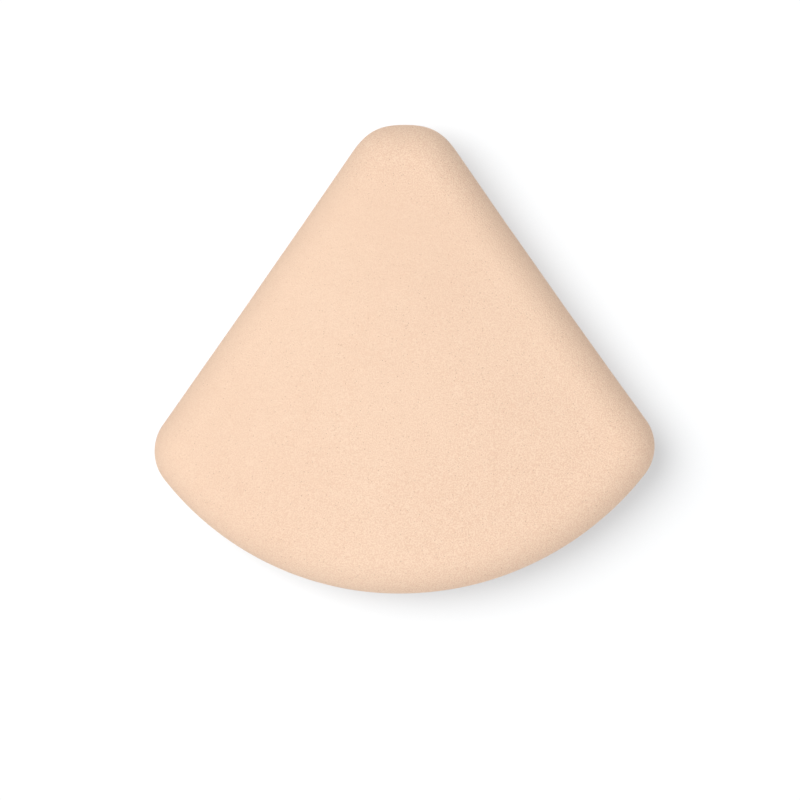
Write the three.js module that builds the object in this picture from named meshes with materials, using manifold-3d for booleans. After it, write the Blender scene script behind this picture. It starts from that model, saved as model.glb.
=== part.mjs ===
// Fan-shaped powder puff: a soft foam core between a face skin and a back skin, which are welded
// together round the side, and an elastic finger strap across the back.
// Millimetres, +Z up. The puff lies on its back, working face up, with the tip of the fan towards +Y.
import * as THREE from "three";
import Module from "manifold-3d";

const { degToRad, radToDeg } = THREE.MathUtils;

// Outline of the pad, seen from above.
const PAD_LENGTH = 65.5; // from the tip of the fan to the middle of the hem
const FAN_ANGLE = degToRad(70); // between the two straight sides
const TIP_RADIUS = 8.9;
const CORNER_RADIUS = 6.3;
const HEM_RADIUS = 42.7;

// Section through the pad.
const GIRTH_Z = 5.8; // height of the widest outline above the flat of the back
const ROLL = 5.6; // how far the rounded edge reaches in from the outline
const SHOULDER_RISE = 5.4; // from the girth to the top of the rounded edge
const SHOULDER_ANGLE = 84; // degrees of the rounded edge above the girth, where the crown takes over
const CROWN_RISE = 1.2; // of the face's middle above its shoulder
const CROWN_Y = -6; // the middle of the crown and of the belly, on the axis of the fan
const UNDER_DROP = 4.9; // from the girth to the bottom of the rounded edge
const UNDER_ANGLE = 80; // degrees of the rounded edge below the girth, where the belly takes over
const BELLY_FLAT = 0.35; // share of the way in to the middle where the belly's lobes are lowest
const LOBE_LIFT = 0.3; // how far the belly draws up between its lobes, below the tip and both ends of the hem
const FACE_THICKNESS = 1.8;
const BACK_THICKNESS = 2.0;
const GAP = 0.3; // clearance between neighbouring pieces

// The weld seam round the side, and the ledges of the two skins that meet there.
const SEAM_ANGLE = 27; // degrees of the rounded edge below the girth
const SEAM_MOUTH = 6; // degrees by which each skin's outside stops short of the seam
const LEDGE_START = 1.1; // inset of the ledges' outer edge, at the bottom of the seam's groove
const LEDGE_END = 3.4; // inset of the face ledge's inner edge
const LEDGE_THICKNESS = 0.9;

// The elastic strap, which lies just below flush in a shallow channel of the back.
const STRAP_WIDTH = 15;
const STRAP_THICKNESS = 0.6;
const STRAP_RECESS = 0.15; // of the strap's outside below the back's
const STRAP_Y = -1; // middle of the strap's width
const STRAP_TIP = 3.2; // inset of the strap's ends, inside the seam
const STRAP_JOIN = 48; // degrees of the rounded edge below the girth where the strap leaves it
const STRAP_BELLY = 10; // how far in from the rounded edge the strap reaches the flat of the belly

// Derived places.
const HALF_FAN = FAN_ANGLE / 2;
const SIDE_NORMAL = HALF_FAN; // direction that the right-hand side faces
const TIP_Y = PAD_LENGTH / 2 - TIP_RADIUS;
const APEX_Y = TIP_Y + TIP_RADIUS / Math.sin(HALF_FAN); // where the two sides would meet
const HEM_Y = HEM_RADIUS - PAD_LENGTH / 2;
const SEAM_Z = GIRTH_Z - UNDER_DROP * Math.sin(degToRad(SEAM_ANGLE));

const { Manifold, Mesh: SolidMesh } = await Module().then((wasm) => {
  wasm.setup();
  return wasm;
});

// Half-width of the straight-sided fan at height y of the plan.
function sideX(y) {
  return (APEX_Y - y) * Math.tan(HALF_FAN);
}

// Centre of the right-hand corner: one corner radius inside the side, and inside the hem.
function cornerCentre() {
  const fromHem = HEM_RADIUS - CORNER_RADIUS;
  const lineX = -CORNER_RADIUS * Math.cos(SIDE_NORMAL);
  const lineY = APEX_Y - CORNER_RADIUS * Math.sin(SIDE_NORMAL) - HEM_Y;
  const along = -lineX * Math.sin(HALF_FAN) + lineY * Math.cos(HALF_FAN);
  const far = lineX * lineX + lineY * lineY - fromHem * fromHem;
  const s = along + Math.sqrt(along * along - far);
  return new THREE.Vector2(
    lineX + s * Math.sin(HALF_FAN),
    lineY + HEM_Y - s * Math.cos(HALF_FAN),
  );
}

// The outline as points with outward normals, anticlockwise from above, starting right of the tip.
function padOutline() {
  const corner = cornerCentre();
  const hemEnd = Math.atan2(corner.y - HEM_Y, corner.x); // direction where a corner meets the hem
  const points = [];
  const arc = (x, y, radius, from, to, steps) => {
    for (let i = 0; i < steps; i++) {
      const turn = from + ((to - from) * i) / steps;
      const normal = new THREE.Vector2(Math.cos(turn), Math.sin(turn));
      points.push({ at: new THREE.Vector2(x, y).addScaledVector(normal, radius), normal });
    }
  };
  const side = (turn, x0, y0, x1, y1, steps) => {
    const normal = new THREE.Vector2(Math.cos(turn), Math.sin(turn));
    const start = new THREE.Vector2(x0, y0);
    const end = new THREE.Vector2(x1, y1);
    for (let i = 0; i < steps; i++) points.push({ at: start.clone().lerp(end, i / steps), normal });
  };
  const tipEnd = new THREE.Vector2(Math.cos(SIDE_NORMAL), Math.sin(SIDE_NORMAL))
    .multiplyScalar(TIP_RADIUS)
    .add(new THREE.Vector2(0, TIP_Y));
  const sideEnd = new THREE.Vector2(Math.cos(SIDE_NORMAL), Math.sin(SIDE_NORMAL))
    .multiplyScalar(CORNER_RADIUS)
    .add(corner);
  arc(0, TIP_Y, TIP_RADIUS, SIDE_NORMAL, Math.PI - SIDE_NORMAL, 8);
  side(Math.PI - SIDE_NORMAL, -tipEnd.x, tipEnd.y, -sideEnd.x, sideEnd.y, 5);
  arc(-corner.x, corner.y, CORNER_RADIUS, Math.PI - SIDE_NORMAL, Math.PI - hemEnd, 6);
  arc(0, HEM_Y, HEM_RADIUS, Math.PI - hemEnd, 2 * Math.PI + hemEnd, 12);
  arc(corner.x, corner.y, CORNER_RADIUS, hemEnd, SIDE_NORMAL, 6);
  side(SIDE_NORMAL, sideEnd.x, sideEnd.y, tipEnd.x, tipEnd.y, 5);
  return points;
}

const OUTLINE = padOutline();

// One stretch of the rounded edge, as rings: semi-axes across and up, from one angle to another.
function roll(across, up, fromDegrees, toDegrees, steps) {
  return Array.from({ length: steps + 1 }, (_, i) => {
    const turn = degToRad(fromDegrees + ((toDegrees - fromDegrees) * i) / steps);
    return { inset: ROLL - across * Math.cos(turn), fill: 0, z: GIRTH_Z + up * Math.sin(turn) };
  });
}

// Rings from a given ring in towards the middle of the pad, domed by rise.
function dome(edge, rise, fills) {
  return fills.map((fill) => ({
    inset: edge.inset,
    fill,
    z: edge.z + rise * (1 - (1 - fill) ** 2),
  }));
}

// Rings under the pad, which bulges down from a given ring to three lobes round a flat.
function belly(edge, flatZ, fills) {
  return fills.map((fill) => {
    const left = Math.max(0, 1 - fill / BELLY_FLAT);
    const lift = fill > BELLY_FLAT ? 0 : LOBE_LIFT;
    return { inset: edge.inset, fill, z: flatZ + (edge.z - flatZ) * left ** 2, lift };
  });
}

// Share of the lobes' lift at a place of the plan: none at each lobe, all of it midway between two.
function betweenLobes(x, y) {
  return (1 + Math.sin(3 * Math.atan2(y - CROWN_Y, x))) / 2;
}

// A closed body from rings that run from the middle of its top, round its edge, to the middle below.
function loft(rings) {
  const first = rings[0];
  const last = rings[rings.length - 1];
  const middle = rings.slice(1, -1);
  const n = OUTLINE.length;
  const positions = [0, CROWN_Y, first.z];
  const index = [];
  for (const { inset, fill, z, lift = 0 } of middle) {
    for (const { at, normal } of OUTLINE) {
      const x = at.x - inset * normal.x;
      const y = at.y - inset * normal.y;
      const rise = lift * betweenLobes(x, y);
      positions.push(x * (1 - fill), y + (CROWN_Y - y) * fill, z + rise);
    }
  }
  positions.push(0, CROWN_Y, last.z);
  const pole = middle.length * n + 1;
  for (let i = 0; i < n; i++) {
    const j = (i + 1) % n;
    index.push(0, 1 + i, 1 + j);
    for (let k = 0; k + 1 < middle.length; k++) {
      const a = 1 + k * n;
      const b = a + n;
      index.push(a + i, b + i, b + j, a + i, b + j, a + j);
    }
    index.push(pole - n + i, pole, pole - n + j);
  }
  const geometry = new THREE.BufferGeometry();
  geometry.setAttribute("position", new THREE.Float32BufferAttribute(positions, 3));
  geometry.setIndex(index);
  return geometry;
}

// Half of the strap's middle line, from its end in the seam to the flat of the belly, as inset and z.
function strapLine() {
  const depth = STRAP_RECESS + STRAP_THICKNESS / 2;
  const across = ROLL - depth;
  const drop = UNDER_DROP - depth;
  const edge = roll(across, drop, -STRAP_JOIN, -UNDER_ANGLE, 4);
  const start = new THREE.Vector2(edge[0].inset, edge[0].z);
  const turn = degToRad(STRAP_JOIN);
  const inward = new THREE.Vector2(Math.cos(turn) / across, Math.sin(turn) / drop).normalize();
  const bend = (SEAM_Z - start.y) / (1 + inward.y); // radius of the fold at the seam's mouth
  const fold = start.clone().addScaledVector(inward, bend);
  const foldStart = Math.PI / 2;
  const foldEnd = Math.PI + inward.angle();
  const line = [new THREE.Vector2(STRAP_TIP, SEAM_Z)];
  for (let i = 0; i < 5; i++) {
    const a = foldStart + ((foldEnd - foldStart) * i) / 5;
    line.push(new THREE.Vector2(fold.x + bend * Math.cos(a), fold.y + bend * Math.sin(a)));
  }
  for (const { inset, z } of edge) line.push(new THREE.Vector2(inset, z));
  const last = edge[edge.length - 1];
  const steps = [0.25, 0.5, 0.75, 1].map((share) => share * BELLY_FLAT);
  for (const { fill, z } of belly(last, depth, steps)) {
    line.push(new THREE.Vector2(last.inset + (STRAP_BELLY * fill) / BELLY_FLAT, z));
  }
  return line;
}

// The strap as a closed body, or with a grow above zero the room that it needs in the skins.
function strapBody(grow) {
  const line = strapLine();
  line[0].x += grow;
  const half = STRAP_THICKNESS / 2 + grow;
  const offset = (side) =>
    line.map((p, i) => {
      const before = line[Math.max(i - 1, 0)];
      const after = line[Math.min(i + 1, line.length - 1)];
      const along = i === line.length - 1 ? new THREE.Vector2(1, 0) : after.clone().sub(before);
      along.normalize();
      return new THREE.Vector2(p.x - side * half * along.y, p.y + side * half * along.x);
    });
  const inner = offset(1);
  const outer = offset(-1);
  const section = (y) => {
    const place = (p, hand) =>
      new THREE.Vector2(hand * (sideX(y) - p.x / Math.cos(HALF_FAN)), p.y);
    return [
      ...outer.map((p) => place(p, -1)),
      ...[...outer].reverse().map((p) => place(p, 1)),
      ...inner.map((p) => place(p, 1)),
      ...[...inner].reverse().map((p) => place(p, -1)),
    ];
  };
  const ends = [-1, 1].map((hand) => STRAP_Y + hand * (STRAP_WIDTH / 2 + grow));
  const rings = ends.map(section);
  const n = rings[0].length;
  const positions = rings.flatMap((ring, e) => ring.flatMap((p) => [p.x, ends[e], p.y]));
  const index = [];
  for (let i = 0; i < n; i++) {
    const j = (i + 1) % n;
    index.push(i, n + i, n + j, i, n + j, j);
  }
  for (let i = 0; i + 1 < n / 2; i++) {
    const below = [i, i + 1];
    const above = [n - 1 - i, n - 2 - i];
    index.push(below[0], below[1], above[1], below[0], above[1], above[0]);
    index.push(n + below[0], n + above[1], n + below[1], n + below[0], n + above[0], n + above[1]);
  }
  const geometry = new THREE.BufferGeometry();
  geometry.setAttribute("position", new THREE.Float32BufferAttribute(positions, 3));
  geometry.setIndex(index);
  return geometry;
}

function solidOf(geometry) {
  return new Manifold(
    new SolidMesh({
      numProp: 3,
      vertProperties: new Float32Array(geometry.getAttribute("position").array),
      triVerts: new Uint32Array(geometry.index.array),
    }),
  );
}

// A closed geometry less the room that the strap needs in it.
function cutForStrap(geometry) {
  const mesh = solidOf(geometry).subtract(solidOf(strapBody(GAP))).getMesh();
  const cut = new THREE.BufferGeometry();
  cut.setAttribute("position", new THREE.BufferAttribute(mesh.vertProperties, 3));
  cut.setIndex(new THREE.BufferAttribute(mesh.triVerts, 1));
  return cut;
}

// Rings of the domed face and of the belly, as shares of the way in to the middle.
const FILLS = [0.75, 0.5, 0.25];
const BELLY_FILLS = [0.2, BELLY_FLAT, 0.6, 1];

// Face skin: outside of the crown, over the edge to the seam, in along the ledge, and back inside.
function faceSkin() {
  const across = ROLL - FACE_THICKNESS;
  const outside = roll(ROLL, SHOULDER_RISE, SHOULDER_ANGLE, 0, 6);
  const below = roll(ROLL, UNDER_DROP, 0, SEAM_MOUTH - SEAM_ANGLE, 2).slice(1);
  const ledgeZ = SEAM_Z + GAP / 2;
  const ledgeTop = ledgeZ + LEDGE_THICKNESS;
  const drop = UNDER_DROP - FACE_THICKNESS;
  const inAngle = radToDeg(Math.asin((ledgeTop - GIRTH_Z) / drop));
  const insideBelow = roll(across, drop, inAngle, 0, 1);
  const inside = roll(across, SHOULDER_RISE - FACE_THICKNESS, 0, SHOULDER_ANGLE, 4).slice(1);
  const top = outside[0];
  const ceiling = inside[inside.length - 1];
  const lip = below[below.length - 1];
  return loft([
    ...dome(top, CROWN_RISE, [1, ...FILLS]),
    ...outside,
    ...below,
    { inset: (lip.inset + LEDGE_START) / 2, fill: 0, z: (lip.z + 2 * ledgeZ) / 3 },
    { inset: LEDGE_START, fill: 0, z: ledgeZ },
    { inset: LEDGE_END, fill: 0, z: ledgeZ },
    { inset: LEDGE_END, fill: 0, z: ledgeTop },
    ...insideBelow,
    ...inside,
    ...dome(ceiling, CROWN_RISE, [...FILLS].reverse().concat(1)),
  ]);
}

// Back skin: a shallow tray, from the middle of its floor out over its rim and under to the belly.
function backSkin() {
  const across = ROLL - BACK_THICKNESS;
  const drop = UNDER_DROP - BACK_THICKNESS;
  const ledgeZ = SEAM_Z - GAP / 2;
  const rimAngle = radToDeg(Math.asin((ledgeZ - GIRTH_Z) / drop));
  const inside = roll(across, drop, -UNDER_ANGLE, rimAngle, 3);
  const outside = roll(ROLL, UNDER_DROP, -SEAM_ANGLE - SEAM_MOUTH, -UNDER_ANGLE, 5);
  return loft([
    ...belly(inside[0], BACK_THICKNESS, BELLY_FILLS).reverse(),
    ...inside,
    { inset: LEDGE_START, fill: 0, z: ledgeZ },
    ...outside,
    ...belly(outside[outside.length - 1], 0, BELLY_FILLS),
  ]);
}

// Foam core: fills the inside, with a groove round its edge for the ledges of the seam.
function foamCore() {
  const faceInset = FACE_THICKNESS + GAP;
  const backInset = BACK_THICKNESS + GAP;
  const top = roll(ROLL - faceInset, SHOULDER_RISE - faceInset, SHOULDER_ANGLE, 0, 5);
  const grooveTop = SEAM_Z + GAP / 2 + LEDGE_THICKNESS + GAP;
  const grooveInset = LEDGE_END + GAP;
  const across = ROLL - backInset;
  const grooveAngle = radToDeg(Math.acos((ROLL - grooveInset) / across));
  const bottom = roll(across, UNDER_DROP - backInset, -grooveAngle, -UNDER_ANGLE, 3);
  return loft([
    ...dome(top[0], CROWN_RISE, [1, ...FILLS]),
    ...top,
    { inset: faceInset + GAP / 2, fill: 0, z: grooveTop },
    { inset: grooveInset, fill: 0, z: grooveTop },
    ...bottom,
    ...belly(bottom[bottom.length - 1], backInset, BELLY_FILLS),
  ]);
}

function piece(name, geometry, color, roughness) {
  const material = new THREE.MeshStandardMaterial({ color, roughness, metalness: 0 });
  const mesh = new THREE.Mesh(geometry, material);
  mesh.name = name;
  return mesh;
}

const puff = new THREE.Group();
puff.add(piece("face_skin", cutForStrap(faceSkin()), 0xf3d3b8, 0.9));
puff.add(piece("foam_core", foamCore(), 0xf7e6cf, 1.0));
puff.add(piece("back_skin", cutForStrap(backSkin()), 0xeecdb2, 0.9));
puff.add(piece("finger_strap", strapBody(0), 0xf1cdb6, 0.45));

export default puff;
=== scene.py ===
# %% [markdown]
# # A fan-shaped powder puff
# The puff is a soft foam pad for two fingers. A peach face skin wraps over a sponge core and is welded
# round the side to a back skin, and an elastic strap crosses the back with its ends in that weld.
# Each piece is built here as one dense mesh from a few sizes, in the frame that the solids already have.

# %% Load the frame
import math

import bpy
import numpy as np
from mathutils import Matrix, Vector, noise


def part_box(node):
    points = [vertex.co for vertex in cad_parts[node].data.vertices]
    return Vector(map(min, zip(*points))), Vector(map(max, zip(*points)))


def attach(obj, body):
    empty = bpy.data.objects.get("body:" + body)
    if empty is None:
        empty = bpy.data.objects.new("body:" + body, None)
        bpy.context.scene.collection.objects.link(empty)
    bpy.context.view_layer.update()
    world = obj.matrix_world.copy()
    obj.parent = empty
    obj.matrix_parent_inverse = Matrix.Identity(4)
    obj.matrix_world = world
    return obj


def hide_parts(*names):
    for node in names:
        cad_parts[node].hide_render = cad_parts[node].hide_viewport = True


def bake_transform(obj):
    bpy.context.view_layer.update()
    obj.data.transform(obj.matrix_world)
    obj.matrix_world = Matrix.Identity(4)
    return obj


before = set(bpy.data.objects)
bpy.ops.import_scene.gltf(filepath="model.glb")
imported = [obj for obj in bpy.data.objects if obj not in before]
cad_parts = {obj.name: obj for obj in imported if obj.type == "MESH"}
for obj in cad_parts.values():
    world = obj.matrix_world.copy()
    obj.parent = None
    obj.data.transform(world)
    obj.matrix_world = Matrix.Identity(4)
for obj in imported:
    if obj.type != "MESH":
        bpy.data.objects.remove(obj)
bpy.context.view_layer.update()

# %% [markdown]
# ## The outline of the fan
# Seen from above, the pad is two sides, a round tip, two round corners and a hem that is part of a large
# circle. A traced outline would carry every wobble of the trace, so the outline is worked out from the
# sizes that a maker would put on a cutting die. The sides pull in and the tip is full, each by a hair, as
# they are on a stuffed pad.

# %% Sizes of the outline, in millimetres
MM = 0.001
face_low, face_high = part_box("face_skin")
PAD_LENGTH = (face_high.y - face_low.y) / MM
HALF_FAN = math.radians(35)
TIP_RADIUS = 8.9
CORNER_RADIUS = 6.3
HEM_RADIUS = 42.7
SIDE_BOW = 0.12
TIP_FULLNESS = 0.22
TIP_Y = PAD_LENGTH / 2 - TIP_RADIUS
APEX_Y = TIP_Y + TIP_RADIUS / math.sin(HALF_FAN)
HEM_Y = HEM_RADIUS - PAD_LENGTH / 2
print(f"pad {PAD_LENGTH:.1f} mm long, sides would meet at y {APEX_Y:.1f}")


# %% Centres of the two round corners
def corner_centre():
    """Centre of the right-hand corner: one corner radius inside the side, and inside the hem."""
    reach = HEM_RADIUS - CORNER_RADIUS
    line_x = -CORNER_RADIUS * math.cos(HALF_FAN)
    line_y = APEX_Y - CORNER_RADIUS * math.sin(HALF_FAN) - HEM_Y
    ahead = line_y * math.cos(HALF_FAN) - line_x * math.sin(HALF_FAN)
    step = ahead + math.sqrt(ahead**2 - line_x**2 - line_y**2 + reach**2)
    return line_x + step * math.sin(HALF_FAN), line_y + HEM_Y - step * math.cos(HALF_FAN)


CORNER_X, CORNER_Y = corner_centre()
print(f"corners turn about x {-CORNER_X:.1f} and {CORNER_X:.1f}, y {CORNER_Y:.1f}")


# %% Arcs and sides
SIDE_STEPS = 64


def arc(x, y, radius, start, end, steps, fullness=0.0):
    """Rows of x, y and outward angle along an arc, without its last point."""
    share = np.linspace(0, 1, steps, endpoint=False)
    turn = start + (end - start) * share
    reach = radius + fullness * np.sin(2 * math.pi * share) ** 2
    return np.column_stack([x + reach * np.cos(turn), y + reach * np.sin(turn), turn])


def side(first, last, turn):
    """Rows of x, y and outward angle along a side, without its last point."""
    share = np.linspace(0, 1, SIDE_STEPS, endpoint=False)
    bow = SIDE_BOW * np.sin(math.pi * share)
    x = first[0] + (last[0] - first[0]) * share - bow * math.cos(turn)
    y = first[1] + (last[1] - first[1]) * share - bow * math.sin(turn)
    return np.column_stack([x, y, np.full(SIDE_STEPS, turn)])


print(f"a side has {SIDE_STEPS} points and bows in by {SIDE_BOW} mm")

# %% Points and outward directions round the outline
TIP_STEPS = 44
CORNER_STEPS = 40
HEM_STEPS = 112


def pad_outline():
    """Points and outward normals, anticlockwise from above, starting right of the tip."""
    left_turn = math.pi - HALF_FAN
    hem_end = math.atan2(CORNER_Y - HEM_Y, CORNER_X)
    left_hem_end = math.pi - hem_end
    outward = np.array([math.cos(HALF_FAN), math.sin(HALF_FAN)])
    tip = np.array([0, TIP_Y]) + outward * TIP_RADIUS
    foot = np.array([CORNER_X, CORNER_Y]) + outward * CORNER_RADIUS
    rows = [
        arc(0, TIP_Y, TIP_RADIUS, HALF_FAN, left_turn, TIP_STEPS, TIP_FULLNESS),
        side(tip * (-1, 1), foot * (-1, 1), left_turn),
        arc(-CORNER_X, CORNER_Y, CORNER_RADIUS, left_turn, left_hem_end, CORNER_STEPS),
        arc(0, HEM_Y, HEM_RADIUS, left_hem_end, 2 * math.pi + hem_end, HEM_STEPS),
        arc(CORNER_X, CORNER_Y, CORNER_RADIUS, hem_end, HALF_FAN, CORNER_STEPS),
        side(foot, tip, HALF_FAN),
    ]
    x, y, turn = np.concatenate(rows).T
    return np.column_stack([x, y]), np.column_stack([np.cos(turn), np.sin(turn)])


OUTLINE, OUTWARD = pad_outline()
print(f"outline of {len(OUTLINE)} points, {np.ptp(OUTLINE[:, 0]):.1f} mm wide")

# %% [markdown]
# ## The section of the pad
# The edge is a rounded roll, which passes into a low crown above and a nearly flat belly below. Such a pad
# is often sculpted, but four pieces have to fit inside one another here, so all of them share one recipe.
# A row of the mesh is the outline moved in by some inset, drawn towards the middle by a fill from 0 to 1,
# and set at some height. A piece is a list of such rows, from the middle of its top to the middle below.

# %% Sizes of the section, in millimetres
GIRTH_Z = 5.8
ROLL = 5.6
SHOULDER_RISE = 5.4
SHOULDER_ANGLE = 84
UNDER_DROP = 4.9
UNDER_ANGLE = 80
FACE_THICKNESS = 1.8
BACK_THICKNESS = 2.0
print(f"roll from {GIRTH_Z - UNDER_DROP:.1f} to {GIRTH_Z + SHOULDER_RISE:.1f} mm high")


# %% Rows round the edge
CROWN_Y = -6.0


def roll(across, up, start, end, steps):
    """Insets and heights along the rounded edge, from one angle in degrees to another."""
    turn = np.radians(np.linspace(start, end, steps))
    return np.stack([ROLL - across * np.cos(turn), GIRTH_Z + up * np.sin(turn)], axis=1)


def place(inset, fill=0.0):
    """Plan of one row: the outline moved in by inset, then drawn towards the middle by fill."""
    plan = OUTLINE - OUTWARD * np.reshape(inset, (-1, 1))
    middle = np.array([0, CROWN_Y])
    return plan + (middle - plan) * fill


def edge_row(inset, z):
    """One row at the rounded edge, where inset and z may differ from point to point."""
    plan = place(inset)
    return np.column_stack([plan, np.broadcast_to(z, len(plan))])


girth_row = edge_row(0.0, GIRTH_Z)
print(f"widest row {np.ptp(girth_row[:, 0]):.1f} by {np.ptp(girth_row[:, 1]):.1f} mm")


# %% How far a skin swells
def depth_inside(plan, inset):
    """A smooth measure that is 0 on the two sides and the hem, moved in by inset, and 1 in the middle."""

    def product(x, y):
        right = (APEX_Y - y) * math.sin(HALF_FAN) - x * math.cos(HALF_FAN) - inset
        left = (APEX_Y - y) * math.sin(HALF_FAN) + x * math.cos(HALF_FAN) - inset
        hem = HEM_RADIUS - inset - np.hypot(x, y - HEM_Y)
        return np.maximum(right, 0) * np.maximum(left, 0) * np.maximum(hem, 0)

    return np.minimum(product(plan[:, 0], plan[:, 1]) / product(0.0, CROWN_Y), 1)


def swell(inset, fill, power):
    """From 0 at the rounded edge to 1 in the middle, like a skin that even pressure lifts."""
    edge = depth_inside(place(inset), inset) * (1 - fill) ** 3
    depth = np.maximum(depth_inside(place(inset, fill), inset) - edge, 0)
    return 1 - (1 - np.minimum(depth, 1)) ** power


halfway = swell(ROLL, 0.5, 1)
print(f"halfway in, a skin swells by {halfway.min():.2f} to {halfway.max():.2f} of its rise")


# %% Rows of the crown and the belly
CROWN_RISE = 1.2
CROWN_POWER = 1.4
BELLY_POWER = 6
LOBES = 3
LOBE_LIFT = 0.3
LOBE_START = 0.25


def crown_row(inset, edge_z, fill):
    """One row of the domed face, as x, y, z."""
    z = edge_z + CROWN_RISE * swell(inset, fill, CROWN_POWER)
    return np.column_stack([place(inset, fill), z])


def between_lobes(plan):
    """0 under the tip and under both ends of the hem, where the belly is lowest, and 1 midway."""
    return (1 + np.sin(LOBES * np.arctan2(plan[:, 1] - CROWN_Y, plan[:, 0]))) / 2


def belly_row(inset, edge_z, flat_z, fill):
    """One row of the belly, which bulges down to its flat and lifts a little between its lobes."""
    plan = place(inset, fill)
    down = swell(inset, fill, BELLY_POWER)
    lift = LOBE_LIFT * between_lobes(plan) * (1 - fill) * np.minimum(fill / LOBE_START, 1)
    return np.column_stack([plan, edge_z + (flat_z - edge_z) * down + lift])


middle_row = crown_row(ROLL, GIRTH_Z + SHOULDER_RISE, 1.0)
print(f"crown {middle_row[0, 2]:.2f} mm high in the middle")

# %% [markdown]
# ## The strap's line
# The strap leaves the weld at each side, folds down over the edge and runs across the belly in a shallow
# channel. The channel in the back skin and the slot in the weld have to follow it, so its line comes
# first. It is drawn in the section, as inset and height, and every cut across the strap uses it.

# %% Sizes of the seam and the strap, in millimetres
SEAM_ANGLE = 27
SEAM_Z = GIRTH_Z - UNDER_DROP * math.sin(math.radians(SEAM_ANGLE))
strap_low, strap_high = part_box("finger_strap")
STRAP_WIDTH = (strap_high.y - strap_low.y) / MM
STRAP_Y = (strap_high.y + strap_low.y) / MM / 2
STRAP_THICKNESS = 0.6
STRAP_RECESS = 0.15
STRAP_TIP = 3.2
STRAP_JOIN = 48
STRAP_BELLY = 10.0
print(f"strap {STRAP_WIDTH:.1f} mm wide about y {STRAP_Y:.1f}, seam {SEAM_Z:.2f} mm high")


# %% The strap's line in the section
END_STEPS = 8
FOLD_STEPS = 20
ROUND_STEPS = 24


def strap_line(off=0.0):
    """Inset and height from the strap's tip in the seam to the middle of the belly, moved in by off."""
    depth = STRAP_RECESS + STRAP_THICKNESS / 2 + off
    across, drop = ROLL - depth, UNDER_DROP - depth
    edge = roll(across, drop, -STRAP_JOIN, -UNDER_ANGLE, ROUND_STEPS)
    turn = math.radians(STRAP_JOIN)
    inward = np.array([math.cos(turn) / across, math.sin(turn) / drop])
    inward /= np.linalg.norm(inward)
    bend = (SEAM_Z - off - edge[0, 1]) / (1 + inward[1])
    fold = edge[0] + inward * bend
    fold_end = math.pi + math.atan2(inward[1], inward[0])
    turns = np.linspace(math.pi / 2, fold_end, FOLD_STEPS, endpoint=False)
    curl = fold + bend * np.stack([np.cos(turns), np.sin(turns)], axis=1)
    tip = np.linspace([STRAP_TIP, SEAM_Z - off], curl[0], END_STEPS, endpoint=False)
    share = np.linspace(0, 1, ROUND_STEPS)[1:]
    run = edge[-1, 0] + STRAP_BELLY * share
    fall = depth + (edge[-1, 1] - depth) * (1 - share) ** 2
    return np.concatenate([tip, curl, edge, np.stack([run, fall], axis=1)])


STRAP_LINE = strap_line()
print(f"strap line of {len(STRAP_LINE)} points, lowest {STRAP_LINE[:, 1].min():.2f} mm")


# %% Room for the strap in the skins
CHANNEL_EDGE = 0.9
CHANNEL_CLEARANCE = 0.04
STRAP_ROOM = STRAP_THICKNESS / 2 + CHANNEL_CLEARANCE
LOW_WALL = 1.0


def in_channel(y):
    """1 under the strap and 0 away from it, with a soft edge."""
    past = np.abs(y - STRAP_Y) - STRAP_WIDTH / 2 - CHANNEL_CLEARANCE
    share = np.clip(1 - past / CHANNEL_EDGE, 0, 1)
    return share * share * (3 - 2 * share)


def side_x(y):
    """Half-width of the straight-sided fan at y."""
    return (APEX_Y - y) * math.tan(HALF_FAN)


def channel_floor(plan):
    """Height of the back skin under the strap, over the belly."""
    wall = strap_line(STRAP_ROOM)
    below = wall[np.argmax(wall[:, 1] <= wall[:, 1].min() + LOW_WALL):]
    inset = (side_x(plan[:, 1]) - np.abs(plan[:, 0])) * math.cos(HALF_FAN)
    return np.interp(inset, below[:, 0], below[:, 1])


print(f"channel {STRAP_RECESS + STRAP_THICKNESS + CHANNEL_CLEARANCE:.2f} mm deep")

# %% [markdown]
# ## From rows to meshes
# A mesh can be modelled face by face, but these skins are dense and even, so each is skinned from its
# rows: quads between neighbours, and a fan of triangles at each middle.

# %% A mesh from rows
ROW_POINTS = len(OUTLINE)


def mesh_piece(name, points, faces):
    """A smooth-shaded mesh object in the scene."""
    mesh = bpy.data.meshes.new(name)
    mesh.from_pydata(points.tolist(), [], faces)
    mesh.shade_smooth()
    piece = bpy.data.objects.new(name, mesh)
    bpy.context.scene.collection.objects.link(piece)
    print(f"{name}: {len(mesh.vertices)} points, {len(mesh.polygons)} faces")
    return piece


def loft(name, rows):
    """A closed mesh from rows that run from the middle of its top to the middle below."""
    points = np.concatenate([rows[0][:1], *rows[1:-1], rows[-1][:1]]) * MM
    last = len(points) - 1
    last_row = last - ROW_POINTS
    faces = []
    for i in range(ROW_POINTS):
        j = (i + 1) % ROW_POINTS
        faces.append((0, 1 + i, 1 + j))
        faces.append((last_row + i, last, last_row + j))
        for start in range(1, last_row, ROW_POINTS):
            below = start + ROW_POINTS
            faces.append((start + i, below + i, below + j, start + j))
    return mesh_piece(name, points, faces)


print(f"each row closes on itself after {ROW_POINTS} points")

# %% [markdown]
# ## The face skin
# The face is a thin foam shell: a crown, a rounded edge, a lip that turns under the widest outline, and a
# ledge where it is welded to the back. A subdivided box would take much pushing to get this section, so
# the rows follow the section from the middle of the crown round to the middle of the inside.

# %% Rows of the face's outside
SEAM_MOUTH = 3.5
CROWN_ROWS = 58
SHOULDER_ROWS = 30
LIP_ROWS = 14


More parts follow.
